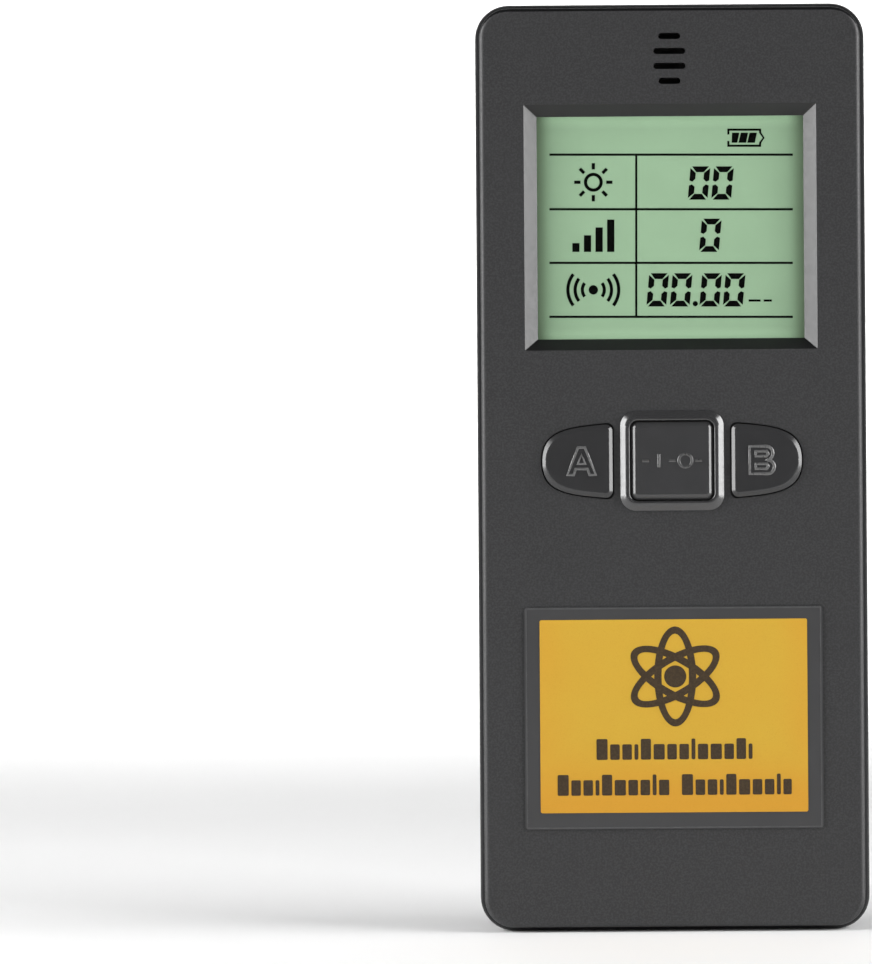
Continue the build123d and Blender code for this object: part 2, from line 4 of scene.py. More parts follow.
import bmesh
import bpy
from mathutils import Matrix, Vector


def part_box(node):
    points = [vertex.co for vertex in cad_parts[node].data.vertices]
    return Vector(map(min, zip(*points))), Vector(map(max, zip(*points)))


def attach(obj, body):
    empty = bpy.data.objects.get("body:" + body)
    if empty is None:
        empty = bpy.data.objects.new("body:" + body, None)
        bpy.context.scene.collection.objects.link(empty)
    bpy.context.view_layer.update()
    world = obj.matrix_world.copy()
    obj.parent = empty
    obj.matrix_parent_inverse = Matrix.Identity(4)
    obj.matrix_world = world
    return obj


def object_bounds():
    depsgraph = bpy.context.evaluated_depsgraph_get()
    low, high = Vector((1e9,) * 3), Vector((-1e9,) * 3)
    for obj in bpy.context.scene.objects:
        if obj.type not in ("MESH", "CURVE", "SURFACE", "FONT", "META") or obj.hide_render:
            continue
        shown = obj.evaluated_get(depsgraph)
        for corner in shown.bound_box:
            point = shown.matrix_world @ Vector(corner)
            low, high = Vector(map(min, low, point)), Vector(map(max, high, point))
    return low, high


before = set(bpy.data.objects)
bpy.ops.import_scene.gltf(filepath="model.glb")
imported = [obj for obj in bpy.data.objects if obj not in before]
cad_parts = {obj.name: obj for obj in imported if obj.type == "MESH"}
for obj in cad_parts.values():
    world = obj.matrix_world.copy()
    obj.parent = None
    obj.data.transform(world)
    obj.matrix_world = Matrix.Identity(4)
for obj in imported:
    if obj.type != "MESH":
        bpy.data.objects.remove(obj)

cad_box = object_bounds()

# ---- sizes, in metres, read from the frame where a node gives them ----
MM = 0.001
LOW, HIGH = cad_box
HEIGHT = HIGH.z - LOW.z
PLATE_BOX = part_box("label_plate")
PRINT_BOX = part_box("label_print")
GLASS_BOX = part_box("lcd_panel")
DISPLAY_Z = (GLASS_BOX[0].z + GLASS_BOX[1].z) / 2
VIEW_HALF_WIDTH = 21.2 * MM
VIEW_HALF_HEIGHT = 17.7 * MM
RECESS_HALF_WIDTH = 23.35 * MM
RECESS_HALF_HEIGHT = 19.65 * MM
KEY_A_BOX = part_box("key_a")
KEY_B_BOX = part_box("key_b")
POWER_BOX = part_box("key_power")
KEY_ROW_Z = (POWER_BOX[0].z + POWER_BOX[1].z) / 2
COLLAR_HALF = 8.6 * MM
COLLAR_PROUD = 0.9 * MM
FACE_LEVEL = LOW.y + COLLAR_PROUD
LEVEL_MARGIN = 0.02 * MM
# Widths of the painted shade band round the front face: narrower at the sides, wider at the top.
SIDE_SHADE_BAND = 0.79 * MM
TOP_SHADE_BAND = 1.55 * MM
CASE_CORNER = 5.4 * MM
INK_THICKNESS = 0.03 * MM
ORBIT_STEP = 0.006 * MM

# ---- camera framing of the reference picture ----
OBJECT_SHARE = 0.9663
OBJECT_RIGHT = 0.2450
OBJECT_UP = 0.0156
LENS = 150.0
SENSOR = 36.0
ROLL = math.radians(0.40)


def srgb(red, green, blue):
    """Linear colour of a display colour given as 0 to 255."""
    channels = []
    for value in (red, green, blue):
        share = value / 255
        channels.append(share / 12.92 if share <= 0.04045 else ((share + 0.055) / 1.055) ** 2.4)
    return (*channels, 1.0)


def scaled(colour, factor):
    """The same colour, lighter or darker."""
    return (*[channel * factor for channel in colour[:3]], 1.0)


# ------------------------------------------------------------------ shader helpers


class Surface:
    """One material's node tree, with short calls for the nodes that the materials share."""

    def __init__(self, name):
        self.material = bpy.data.materials.new(name)
        self.material.use_nodes = True
        self.tree = self.material.node_tree
        self.tree.nodes.clear()
        self.output = self.tree.nodes.new("ShaderNodeOutputMaterial")
        self.shader = self.tree.nodes.new("ShaderNodeBsdfPrincipled")
        self.join(self.shader.outputs[0], self.output.inputs["Surface"])
        self.place = self.tree.nodes.new("ShaderNodeTexCoord").outputs["Object"]

    def join(self, source, target):
        """Links one socket to another."""
        self.tree.links.new(source, target)

    def put(self, socket, value):
        """Links a node's output to a socket, or sets the socket's own value."""
        if isinstance(value, bpy.types.NodeSocket):
            self.join(value, socket)
        else:
            socket.default_value = value

    def set(self, **values):
        """Sets the shader's own sockets, with underscores for the spaces in their names."""
        for name, value in values.items():
            self.put(self.shader.inputs[name.replace("_", " ")], value)

    def math(self, operation, first, second=0.0, clamp=False):
        """Sum, product or the like of two values."""
        node = self.tree.nodes.new("ShaderNodeMath")
        node.operation = operation
        node.use_clamp = clamp
        self.put(node.inputs[0], first)
        self.put(node.inputs[1], second)
        return node.outputs[0]

    def noise(self, size, detail=2.0, roughness=0.5, stretch=(1, 1, 1)):
        """Noise whose features are about size metres across."""
        node = self.tree.nodes.new("ShaderNodeTexNoise")
        node.inputs["Scale"].default_value = 1.0 / size
        node.inputs["Detail"].default_value = detail
        node.inputs["Roughness"].default_value = roughness
        self.join(self.stretched(stretch), node.inputs["Vector"])
        return node.outputs["Fac"]

    def cells(self, size, smooth=0.6):
        """Rounded cells about size metres across."""
        node = self.tree.nodes.new("ShaderNodeTexVoronoi")
        node.feature = "SMOOTH_F1"
        node.inputs["Scale"].default_value = 1.0 / size
        node.inputs["Smoothness"].default_value = smooth
        self.join(self.place, node.inputs["Vector"])
        return node.outputs["Distance"]

    def bands(self, size, axis):
        """Stripes across one axis, size metres apart."""
        node = self.tree.nodes.new("ShaderNodeTexWave")
        node.bands_direction = axis
        node.wave_profile = "SIN"
        node.inputs["Scale"].default_value = 0.314 / size
        node.inputs["Distortion"].default_value = 0.0
        self.join(self.place, node.inputs["Vector"])
        return node.outputs["Fac"]

    def stretched(self, stretch):
        """The object's own coordinates, scaled along each axis."""
        if stretch == (1, 1, 1):
            return self.place
        node = self.tree.nodes.new("ShaderNodeMapping")
        node.inputs["Scale"].default_value = stretch
        self.join(self.place, node.inputs["Vector"])
        return node.outputs[0]

    def axis(self, name):
        """The object's own coordinate along one axis."""
        node = self.tree.nodes.new("ShaderNodeSeparateXYZ")
        self.join(self.place, node.inputs[0])
        return node.outputs[name]

    def ramp(self, value, low, high, low_out=0.0, high_out=1.0):
        """Smooth step of a value from low_out to high_out."""
        node = self.tree.nodes.new("ShaderNodeMapRange")
        node.interpolation_type = "SMOOTHSTEP"
        self.put(node.inputs["Value"], value)
        node.inputs["From Min"].default_value = low
        node.inputs["From Max"].default_value = high
        node.inputs["To Min"].default_value = low_out
        node.inputs["To Max"].default_value = high_out
        return node.outputs[0]

    def mix(self, share, first, second):
        """Colour between two colours."""
        node = self.tree.nodes.new("ShaderNodeMix")
        node.data_type = "RGBA"
        self.put(node.inputs[0], share)
        self.put(node.inputs[6], first)
        self.put(node.inputs[7], second)
        return node.outputs[2]

    def mix_value(self, share, first, second):
        """Number between two numbers."""
        node = self.tree.nodes.new("ShaderNodeMix")
        self.put(node.inputs[0], share)
        self.put(node.inputs[2], first)
        self.put(node.inputs[3], second)
        return node.outputs[0]

    def bump(self, height, depth, strength=1.0, under=None):
        """Bump from a height of 0 to 1 that stands depth metres high."""
        node = self.tree.nodes.new("ShaderNodeBump")
        node.inputs["Strength"].default_value = strength
        node.inputs["Distance"].default_value = depth
        self.join(height, node.inputs["Height"])
        if under is not None:
            self.join(under, node.inputs["Normal"])
        return node.outputs[0]

    def inside(self, axis, centre, half, soft):
        """1 within half of centre along an axis, falling to 0 over soft."""
        away = self.math("ABSOLUTE", self.math("SUBTRACT", self.axis(axis), centre))
        return self.ramp(away, half - soft, half, 1.0, 0.0)


# ------------------------------------------------------------------ materials


def moulded_plastic(name, colour, roughness=0.5, grain=0.16 * MM, depth=0.006 * MM, level=0.5):
    """Dark plastic with a fine eroded-mould grain, faint flow mottling and specks."""
    s = Surface(name)
    mottle = s.ramp(s.noise(9 * MM, 3.0), 0.3, 0.7)
    specks = s.ramp(s.noise(0.30 * MM, 1.0), 0.35, 0.72)
    base = s.mix(mottle, scaled(colour, 0.82), scaled(colour, 0.88))
    s.set(Base_Color=s.mix(s.math("MULTIPLY", specks, 0.8), base, scaled(colour, 1.5)))
    s.set(Roughness=s.ramp(s.noise(0.5 * MM, 2.0), 0.3, 0.7, roughness - 0.04, roughness + 0.05))
    s.set(Specular_IOR_Level=level)
    fine = s.bump(s.noise(grain, 2.0, 0.6), depth, 0.8)
    s.set(Normal=s.bump(s.cells(grain * 1.9), depth * 0.8, 0.6, fine))
    return s.material


def polished_plastic(name, colour, roughness, gloss):
    """The same plastic where the mould is polished: a trace of grain under a stronger shine."""
    s = Surface(name)
    mottle = s.ramp(s.noise(5 * MM, 3.0), 0.3, 0.7)
    s.set(Base_Color=s.mix(mottle, scaled(colour, 0.94), scaled(colour, 1.06)))
    s.set(Roughness=s.ramp(s.noise(0.7 * MM, 2.0), 0.3, 0.7, roughness - 0.03, roughness + 0.04), IOR=gloss)
    s.set(Normal=s.bump(s.noise(0.14 * MM, 2.0, 0.6), 0.0012 * MM, 0.6))
    return s.material


def key_plastic(name, colour, gloss):
    """Smoother, glossier plastic of the keys, with a trace of grain and finger marks."""
    s = Surface(name)
    mottle = s.ramp(s.noise(4 * MM, 3.0), 0.35, 0.65)
    s.set(Base_Color=s.mix(mottle, scaled(colour, 0.97), scaled(colour, 1.03)))
    marks = s.ramp(s.noise(2.6 * MM, 4.0, 0.65), 0.45, 0.75)
    s.set(Roughness=s.mix_value(marks, 0.17, 0.22), IOR=gloss)
    s.set(Normal=s.bump(s.noise(0.12 * MM, 2.0), 0.001 * MM, 0.6))
    return s.material


def clear_pane():
    """Thin clear acrylic: mostly see-through, with a polished reflection."""
    s = Surface("window_acrylic")
    s.set(Base_Color=(0.0, 0.0, 0.0, 1.0), Alpha=0.10, IOR=1.9)
    s.set(Roughness=s.ramp(s.noise(6 * MM, 3.0), 0.3, 0.7, 0.03, 0.06))
    s.material.blend_method = "BLEND"
    return s.material


def display_green():
    """Reflective green display: even field with a fine diffuser texture, painted shade beside the side walls,
    painted light towards the top and bottom ends, and a painted glow.
    """
    s = Surface("display_green")
    green = srgb(157, 189, 155)
    painted_side_shade = srgb(106, 128, 101)
    # Painted shade: the green darkens towards the left and right walls of the recess.
    side = s.math("ABSOLUTE", s.axis("X"))
    edge = s.ramp(side, VIEW_HALF_WIDTH - 2.8 * MM, VIEW_HALF_WIDTH + 0.3 * MM)
    # Painted light: the green brightens towards the top and bottom ends, against the recess's shade there.
    ends = s.math("ABSOLUTE", s.math("SUBTRACT", s.axis("Z"), DISPLAY_Z))
    painted_end_light = s.ramp(ends, VIEW_HALF_HEIGHT - 2.2 * MM, VIEW_HALF_HEIGHT)
    cloud = s.ramp(s.noise(7 * MM, 2.0), 0.3, 0.7)
    even = s.mix(cloud, scaled(green, 0.985), scaled(green, 1.015))
    field = s.mix(painted_end_light, even, scaled(green, 1.35))
    green_with_painted_light = s.mix(edge, field, painted_side_shade)
    # The emission is a painted glow: the display has no lamp of its own.
    s.set(Base_Color=green_with_painted_light, Emission_Color=green_with_painted_light, Emission_Strength=0.3)
    s.set(Roughness=s.ramp(s.noise(0.35 * MM, 2.0), 0.3, 0.7, 0.42, 0.5))
    s.set(Normal=s.bump(s.noise(0.09 * MM, 1.0), 0.001 * MM, 0.5))
    s.set(Specular_IOR_Level=0.3)
    return s.material


def display_ink():
    """Dark segments of the display, faintly uneven."""
    s = Surface("display_ink")
    ink = (0.0006, 0.0010, 0.0006, 1.0)
    s.set(Base_Color=s.mix(s.noise(0.8 * MM), ink, scaled(ink, 2.6)))
    s.set(Roughness=s.ramp(s.noise(0.3 * MM), 0.3, 0.7, 0.3, 0.4), Specular_IOR_Level=0.05)
    return s.material


def label_film():
    """Smooth dark border of the label."""
    s = Surface("label_border_film")
    colour = srgb(58, 58, 59)
    mottle = s.ramp(s.noise(5 * MM, 3.0), 0.3, 0.7)
    s.set(Base_Color=s.mix(mottle, scaled(colour, 0.97), scaled(colour, 1.03)))
    s.set(Roughness=s.ramp(s.noise(0.8 * MM, 2.0), 0.3, 0.7, 0.36, 0.42))
    s.set(Normal=s.bump(s.noise(0.25 * MM, 2.0), 0.001 * MM, 0.4))
    return s.material


def label_yellow():
    """Printed yellow field that turns more orange towards the bottom and the edges."""
    s = Surface("label_yellow_print")
    yellow = srgb(201, 161, 52)
    orange = srgb(203, 148, 44)
    low, high = PRINT_BOX
    down = s.ramp(s.axis("Z"), low.z, low.z + 0.42 * (high.z - low.z), 1.0, 0.0)
    side = s.ramp(s.math("ABSOLUTE", s.axis("X")), high.x - 6 * MM, high.x, 0.0, 0.35)
    cloud = s.ramp(s.noise(11 * MM, 3.0), 0.35, 0.65, 0.0, 0.14)
    share = s.math("ADD", s.math("MAXIMUM", down, side), cloud, clamp=True)
    dots = s.ramp(s.noise(0.16 * MM, 1.0), 0.5, 0.75, 0.0, 0.16)
    field = s.mix(share, yellow, orange)
    s.set(Base_Color=s.mix(dots, field, scaled(orange, 0.75)))
    s.set(Roughness=s.ramp(s.noise(0.6 * MM), 0.3, 0.7, 0.45, 0.55), Specular_IOR_Level=0.3)
    s.set(Normal=s.bump(s.noise(0.2 * MM, 2.0), 0.0015 * MM, 0.5))
    return s.material


def label_ink():
    """Dark brown print on the yellow field."""
    s = Surface("label_dark_print")
    brown = srgb(62, 49, 33)
    mottle = s.ramp(s.noise(0.3 * MM, 2.0), 0.35, 0.7)
    s.set(Base_Color=s.mix(mottle, scaled(brown, 0.85), scaled(brown, 1.2)))
    s.set(Roughness=s.ramp(s.noise(0.6 * MM), 0.3, 0.7, 0.45, 0.55), Specular_IOR_Level=0.3)
    return s.material


def metal(name, colour, roughness=0.3, brushed="Z"):
    """Plated or drawn metal with fine lines along one axis and slight stains."""
    s = Surface(name)
    stretch = {"X": (0.05, 1, 1), "Y": (1, 0.05, 1), "Z": (1, 1, 0.05)}[brushed]
    lines = s.noise(0.06 * MM, 2.0, 0.6, stretch)
    stain = s.ramp(s.noise(2 * MM, 3.0), 0.4, 0.75, 0.0, 0.5)
    s.set(Metallic=1.0, Base_Color=s.mix(stain, colour, scaled(colour, 0.78)))
    s.set(Roughness=s.ramp(lines, 0.3, 0.7, roughness - 0.08, roughness + 0.1))
    s.set(Normal=s.bump(lines, 0.002 * MM, 0.5))
    return s.material


def plain_part(name, colour, roughness=0.45, grain=0.2 * MM, depth=0.003 * MM):
    """Small moulded or coated part with a fine grain and uneven gloss."""
    s = Surface(name)
    mottle = s.ramp(s.noise(1.5 * MM, 3.0), 0.3, 0.7)
    s.set(Base_Color=s.mix(mottle, scaled(colour, 0.88), scaled(colour, 1.1)))
    s.set(Roughness=s.ramp(s.noise(0.7 * MM, 2.0), 0.3, 0.7, roughness - 0.06, roughness + 0.06))
    s.set(Normal=s.bump(s.noise(grain, 2.0), depth, 0.7))
    return s.material


def board_mask():
    """Green solder mask with copper tracks showing through as lighter lines."""
    s = Surface("solder_mask_board")
    green = (0.012, 0.085, 0.035, 1.0)
    across = s.ramp(s.bands(2.6 * MM, "X"), 0.80, 0.86)
    along = s.ramp(s.bands(3.4 * MM, "Z"), 0.84, 0.90)
    patch = s.ramp(s.noise(9 * MM, 1.0), 0.48, 0.52)
    tracks = s.math("ADD", s.math("MULTIPLY", across, patch),
                    s.math("MULTIPLY", along, s.math("SUBTRACT", 1.0, patch)), clamp=True)
    s.set(Base_Color=s.mix(tracks, green, (0.03, 0.16, 0.06, 1.0)))
    s.set(Roughness=s.ramp(s.noise(0.8 * MM, 2.0), 0.3, 0.7, 0.22, 0.32))
    s.set(Normal=s.bump(tracks, 0.02 * MM, 0.6))
    return s.material


def cell_jacket():
    """Battery sleeve: dark blue with a copper-coloured end band and bare metal ends."""
    s = Surface("cell_jacket")
    low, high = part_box("battery_cell_1")
    length = high.z - low.z
    band = s.ramp(s.axis("Z"), low.z + 0.70 * length, low.z + 0.71 * length)
    ends = s.inside("Z", (low.z + high.z) / 2, 0.488 * length, 0.002 * length)
    jacket = s.mix(band, (0.01, 0.03, 0.10, 1.0), (0.45, 0.20, 0.07, 1.0))
    s.set(Base_Color=s.mix(ends, (0.6, 0.6, 0.58, 1.0), jacket))
    s.set(Metallic=s.mix_value(ends, 1.0, 0.25))
    s.set(Roughness=s.ramp(s.noise(1.2 * MM, 3.0), 0.3, 0.7, 0.24, 0.36))
    s.set(Normal=s.bump(s.noise(0.6 * MM, 2.0), 0.004 * MM, 0.4))
    return s.material


def zebra_rubber():
    """Contact strip: soft pink-grey rubber with fine dark conducting layers."""
    s = Surface("zebra_rubber")
    layers = s.ramp(s.bands(0.18 * MM, "X"), 0.45, 0.55)
    s.set(Base_Color=s.mix(layers, (0.45, 0.30, 0.30, 1.0), (0.02, 0.02, 0.02, 1.0)))
    s.set(Roughness=s.ramp(s.noise(0.5 * MM), 0.3, 0.7, 0.6, 0.75))
    return s.material


def tube_glass():
    """Counter tube: thin glass over a grey conductive film."""
    s = Surface("tube_glass")
    film = s.ramp(s.noise(5 * MM, 3.0), 0.35, 0.7)
    s.set(Base_Color=s.mix(film, (0.20, 0.17, 0.14, 1.0), (0.34, 0.30, 0.26, 1.0)), Metallic=0.5)
    s.set(Roughness=s.ramp(s.noise(2 * MM, 2.0), 0.3, 0.7, 0.12, 0.22), Coat_Weight=0.8, Coat_Roughness=0.04)
    return s.material


def copper_wire():
    """Winding: enamelled copper turns side by side, dark in the grooves between turns and bright on their
    crests: painted shade and painted highlight.
    """
    s = Surface("copper_winding")
    turns = s.bands(0.25 * MM, "Y")
    # Painted shade and highlight: the copper colour follows the round of each turn.
    s.set(Metallic=1.0, Base_Color=s.mix(turns, (0.28, 0.09, 0.03, 1.0), (0.75, 0.33, 0.13, 1.0)))
    s.set(Roughness=s.ramp(s.noise(0.6 * MM), 0.3, 0.7, 0.25, 0.38))
    s.set(Normal=s.bump(turns, 0.05 * MM, 0.8))
    return s.material


def floor_paper():
    """Matt white paper sweep."""
    s = Surface("studio_paper")
    s.set(Base_Color=s.mix(s.noise(120 * MM, 2.0), (0.86, 0.86, 0.86, 1.0), (0.90, 0.90, 0.90, 1.0)))
    s.set(Roughness=s.ramp(s.noise(1.0 * MM), 0.3, 0.7, 0.85, 0.95), Specular_IOR_Level=0.1)
    return s.material


CASE_GREY = srgb(44, 44, 45)
CASE_DARK = srgb(20, 20, 21)
CASE_FRONT = moulded_plastic("case_front_plastic", CASE_GREY)
# Darker, less shiny copy of the case plastic for the rounded edge: painted shade.
CASE_EDGE_PAINTED_SHADE = moulded_plastic("case_edge_painted_shade_plastic", CASE_DARK, 0.36, level=0.1)
COLLAR = polished_plastic("collar_polish", CASE_GREY, 0.22, 1.85)
# The recess slopes take the darker colour as painted shade in the recess, under the polished shine.
SLOPE_PAINTED_SHADE = polished_plastic("recess_polish_painted_shade", CASE_DARK, 0.33, 1.56)
CASE_BACK = moulded_plastic("case_back_plastic", CASE_DARK, 0.5)
STAND = moulded_plastic("stand_plastic", scaled(CASE_DARK, 0.96), 0.47)
DOOR = moulded_plastic("door_plastic", scaled(CASE_DARK, 0.93), 0.5)
SIDE_KEY = key_plastic("side_key_plastic", srgb(46, 46, 47), 1.58)
POWER_KEY = key_plastic("power_key_plastic", srgb(54, 54, 55), 1.66)
# Raised moulded legends in lighter copies of the key plastic: a painted highlight on the beads.
LETTER_PAINTED_HIGHLIGHT = moulded_plastic("letter_painted_highlight_plastic", srgb(84, 84, 84), 0.30, level=1.0)
MARK_PAINTED_HIGHLIGHT = moulded_plastic("power_mark_painted_highlight_plastic", srgb(58, 58, 58), 0.3, level=1.0)
PANE = clear_pane()
STEEL = metal("zinc_steel", (0.55, 0.55, 0.56, 1.0), 0.32)
BLACK_STEEL = metal("black_steel", (0.045, 0.045, 0.047, 1.0), 0.36)
NICKEL = metal("nickel_plate", (0.66, 0.64, 0.59, 1.0), 0.26, "X")
BRASS = metal("clip_brass", (0.72, 0.50, 0.20, 1.0), 0.25, "Y")
FOIL = metal("reflector_foil", (0.55, 0.62, 0.54, 1.0), 0.4, "X")
HOLDER = plain_part("holder_plastic", (0.016, 0.016, 0.016, 1.0))
SWITCH = plain_part("switch_plastic", (0.012, 0.012, 0.012, 1.0), 0.4)
PLUNGER = plain_part("plunger_plastic", (0.42, 0.40, 0.34, 1.0), 0.4)
DARK_PART = plain_part("package_epoxy", (0.014, 0.014, 0.015, 1.0), 0.5)
FELT = plain_part("buzzer_felt", (0.006, 0.006, 0.006, 1.0), 0.95, 0.08 * MM, 0.03 * MM)
JACKET = cell_jacket()

NODE_MATERIALS = {
    "front_shell": CASE_FRONT,
    "rear_cover": CASE_BACK,
    "kickstand": STAND,
    "battery_door": DOOR,
    "hinge_pins": STEEL,
    "lcd_window": PANE,
    "lcd_panel": display_green(),
    "lcd_reflector": FOIL,
    "lcd_holder": HOLDER,
    "zebra_strips": zebra_rubber(),
    "label_plate": label_film(),
    "label_print": label_yellow(),
    "key_a": SIDE_KEY,
    "key_b": SIDE_KEY,
    "key_power": POWER_KEY,
    "switch_body_a": SWITCH,
    "switch_body_power": SWITCH,
    "switch_body_b": SWITCH,
    "switch_plunger_a": PLUNGER,
    "switch_plunger_power": PLUNGER,
    "switch_plunger_b": PLUNGER,
    "main_board": board_mask(),
    "board_screws": STEEL,
    "case_screws": BLACK_STEEL,
    "battery_cell_1": JACKET,
    "battery_cell_2": JACKET,
    "battery_cell_3": JACKET,
    "contact_plates": NICKEL,
    "contact_springs": NICKEL,
    "red_lead": plain_part("red_insulation", (0.42, 0.012, 0.010, 1.0), 0.4),
    "black_lead": plain_part("black_insulation", (0.012, 0.012, 0.012, 1.0), 0.4),
    "geiger_tube": tube_glass(),
    "tube_caps": NICKEL,
    "tube_clips": BRASS,
    "transformer_core": plain_part("ferrite", (0.03, 0.028, 0.027, 1.0), 0.6),
    "transformer_winding": copper_wire(),
    "multiplier_capacitors": plain_part("blue_dip", (0.02, 0.09, 0.34, 1.0), 0.3),
    "small_parts": DARK_PART,
    "controller_chip": DARK_PART,
    "buzzer": DARK_PART,
    "buzzer_felt": FELT,
    "uv_sensor": NICKEL,
    "uv_window": PANE,
}


def dress(node, material):
    """Gives a CAD node its material."""
    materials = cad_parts[node].data.materials
    materials.clear()
    materials.append(material)


def dress_front_shell():
    """Polished collar; recess slopes polished and darker as painted shade; and a darker band round the
    grained face, painted shade of the case's rounded edge.
    """
    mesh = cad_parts["front_shell"].data
    for material in (COLLAR, SLOPE_PAINTED_SHADE, CASE_EDGE_PAINTED_SHADE):
        mesh.materials.append(material)
    for polygon in mesh.polygons:
        x, y, z = polygon.center
        near_key = max(abs(x), abs(z - KEY_ROW_Z)) < COLLAR_HALF
        in_recess = abs(x) < RECESS_HALF_WIDTH and abs(z - DISPLAY_Z) < RECESS_HALF_HEIGHT
        over_x = abs(x) - (HIGH.x - CASE_CORNER)
        over_z = abs(z - HEIGHT / 2) - (HEIGHT / 2 - CASE_CORNER)
        both = over_x > 0 and over_z > 0
        margin = CASE_CORNER - (math.hypot(over_x, over_z) if both else max(over_x, over_z))
        near_top = min(1.0, max(0.0, (z - HEIGHT) / CASE_CORNER + 1))
        band = SIDE_SHADE_BAND + (TOP_SHADE_BAND - SIDE_SHADE_BAND) * near_top
        if near_key and y < FACE_LEVEL - LEVEL_MARGIN:
            polygon.material_index = 1
        # Painted shade: the recess slopes in the darker polished plastic.
        elif in_recess and y > FACE_LEVEL + LEVEL_MARGIN and polygon.normal.y < -0.2:
            polygon.material_index = 2
        # Painted shade: the darker edge plastic on the rounding round the face, wider towards the top.
        elif margin < band:
            polygon.material_index = 3


for node_name, node_material in NODE_MATERIALS.items():
    dress(node_name, node_material)
dress_front_shell()


# ------------------------------------------------------------------ flat shapes on the front


def show(name, data, material, body):
    """Puts a shape in the scene with its material, and makes it ride on a body."""
    data.materials.append(material)
    piece = bpy.data.objects.new(name, data)
    bpy.context.scene.collection.objects.link(piece)
    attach(piece, body)


def flat_piece(name, outlines, front, material):
    """Thin print made of flat outlines in X and Z, its front face at one depth, facing the user."""
    mesh = bpy.data.meshes.new(name)
    build = bmesh.new()
    for outline in outlines:
        near = [build.verts.new((x, front, z)) for x, z in outline]
        far = [build.verts.new((x, front + INK_THICKNESS, z)) for x, z in outline]
        build.faces.new(near)
        build.faces.new(far[::-1])
        for index in range(len(outline)):
            after = (index + 1) % len(outline)
            build.faces.new((near[after], near[index], far[index], far[after]))
    bmesh.ops.recalc_face_normals(build, faces=build.faces)
    build.to_mesh(mesh)
    build.free()
    show(name, mesh, material, "housing")


def bar(x, z, width, height, radius=0.0, steps=5):
    """Outline of a bar centred at x, z, with optional rounded corners."""
    half_w, half_h = width / 2, height / 2
    if radius <= 0:
        ends = ((-1, -1), (1, -1), (1, 1), (-1, 1))
        return [(x + side_x * half_w, z + side_z * half_h) for side_x, side_z in ends]
    points = []
    corners = ((1, -1, -90), (1, 1, 0), (-1, 1, 90), (-1, -1, 180))
    for side_x, side_z, start in corners:
        centre = (x + side_x * (half_w - radius), z + side_z * (half_h - radius))
        for step in range(steps + 1):
            angle = math.radians(start + 90 * step / steps)
            points.append((centre[0] + radius * math.cos(angle), centre[1] + radius * math.sin(angle)))
    return points


def disc(x, z, radius, steps=40):
    """Outline of a disc."""
    turns = [2 * math.pi * step / steps for step in range(steps)]
    return [(x + radius * math.cos(turn), z + radius * math.sin(turn)) for turn in turns]


def ring_pieces(x, z, radius_x, radius_z, width, turn=0.0, start=0.0, sweep=360.0, steps=48):
    """Quads that make up a closed or open elliptical ring, turned about its centre."""
    quads = []
    cosine, sine = math.cos(turn), math.sin(turn)

    def point(angle, offset):
        along_x = (radius_x + offset) * math.cos(angle)
        along_z = (radius_z + offset) * math.sin(angle)
        return (x + along_x * cosine - along_z * sine, z + along_x * sine + along_z * cosine)

    for step in range(steps):
        first = math.radians(start + sweep * step / steps)
        second = math.radians(start + sweep * (step + 1) / steps)
        quads.append([point(first, -width / 2), point(first, width / 2),
                      point(second, width / 2), point(second, -width / 2)])
    return quads


# ------------------------------------------------------------------ display

DIGIT_WIDTH = 3.15 * MM
DIGIT_HEIGHT = 5.3 * MM
DIGIT_STROKE = 0.92 * MM
DIGIT_GAP = 0.13 * MM
DIGIT_LEAN = 0.088
DISPLAY_TURN = math.radians(-0.40)
DISPLAY_RISE = 0.18 * MM


def digit_zero(x, z):
    """Six lit segments of a seven-segment zero, centred at x, z and leaning a little to the right."""
    half_w, half_h = DIGIT_WIDTH / 2, DIGIT_HEIGHT / 2
    stroke, gap = DIGIT_STROKE, DIGIT_GAP
    cut = 0.1125 * stroke
    segments = []
    for side in (1, -1):
        flat = [(-half_w + gap + cut, side * half_h), (half_w - gap - cut, side * half_h),
                (half_w - stroke - gap * 0.4, side * (half_h - stroke)),
                (-half_w + stroke + gap * 0.4, side * (half_h - stroke))]
        segments.append(flat)
        for hand in (1, -1):
            upright = [(hand * half_w, side * (half_h - gap - 0.15 * stroke)),
                       (hand * half_w, side * (gap * 2.4 + 0.1 * stroke)),
                       (hand * (half_w - 0.5 * stroke), side * gap * 1.6),
                       (hand * (half_w - stroke), side * (gap * 2.4 + 0.35 * stroke)),
                       (hand * (half_w - stroke), side * (half_h - stroke - gap))]
            segments.append(upright)
    return [[(x + px + DIGIT_LEAN * pz, z + pz) for px, pz in segment] for segment in segments]


def display_grid():
    """Table lines: four across and one down."""
    lines = []
    for offset in (11.5, 2.8, -5.75, -14.35):
        lines.append(bar(0.1 * MM, DISPLAY_Z + offset * MM, 38.8 * MM, 0.36 * MM))
    lines.append(bar(-5.46 * MM, DISPLAY_Z - 1.43 * MM, 0.34 * MM, 25.8 * MM))
    return lines


def display_digits():
    """The readings: two digits, one digit, and four digits with a point."""
    outlines = []
    for x, z in ((4.55, 6.98), (8.3, 6.98), (6.35, -1.35)):
        outlines += digit_zero(x * MM, DISPLAY_Z + z * MM)
    for x in (-2.04, 1.70, 6.40, 10.15):
        outlines += digit_zero(x * MM, DISPLAY_Z - 10.05 * MM)
    outlines.append(disc(3.95 * MM, DISPLAY_Z - 12.25 * MM, 0.42 * MM, 20))
    return outlines


